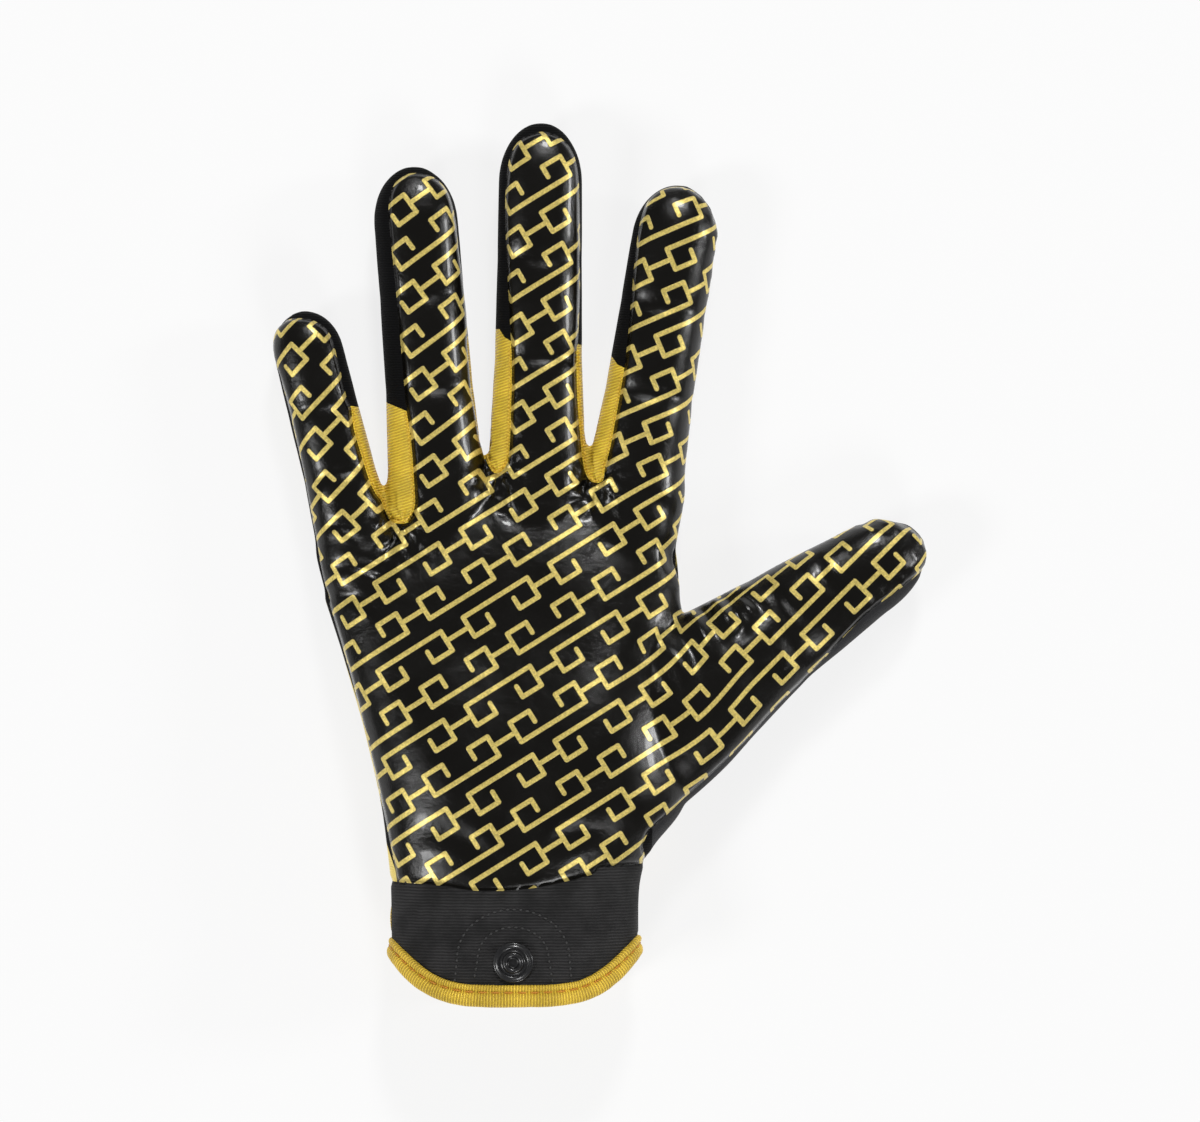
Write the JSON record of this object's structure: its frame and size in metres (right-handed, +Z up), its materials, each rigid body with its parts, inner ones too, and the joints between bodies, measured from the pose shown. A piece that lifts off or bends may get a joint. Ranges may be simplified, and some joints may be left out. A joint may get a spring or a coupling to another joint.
{
  "type": "football glove",
  "caption": "Right-hand football glove with a tacky palm, stretch side walls between the fingers, and a wrist strap, lying palm up.",
  "frame": {"origin": "middle of the glove's footprint, on the surface that it lies on", "axes": "+Z up, out of the palm; +Y from the wrist to the fingertips; +X to the thumb's side"},
  "size_m": [0.1604, 0.2158, 0.0356],
  "materials": {
    "palm_leather": "glossy black tacky synthetic leather, printed all over with thin pale-gold lines in a key-fret pattern",
    "black_knit": "matte black stretch knit with fine crosswise ribs and gold foil print",
    "grey_suede": "matte dark grey brushed microfibre",
    "gold_stretch": "amber-gold ribbed stretch cloth, soft satin",
    "charcoal_knit": "matte charcoal elastic knit with fine crosswise ribs",
    "gold_binding": "amber-gold ribbed binding tape, stitched",
    "strap_cloth": "smooth matte black strap cloth",
    "stud_metal": "black lacquered press stud"
  },
  "bodies": {
    "root": {"palm_panel": "palm_leather", "back_panel": "black_knit", "thumb_back": "grey_suede", "fourchette_index_middle": "gold_stretch", "fourchette_middle_ring": "gold_stretch", "fourchette_ring_little": "gold_stretch", "cuff": "charcoal_knit", "hem_binding": "gold_binding", "slit_binding": "gold_binding", "strap": "strap_cloth", "strap_binding": "gold_binding", "press_stud": "stud_metal"}
  },
  "joints": []
}
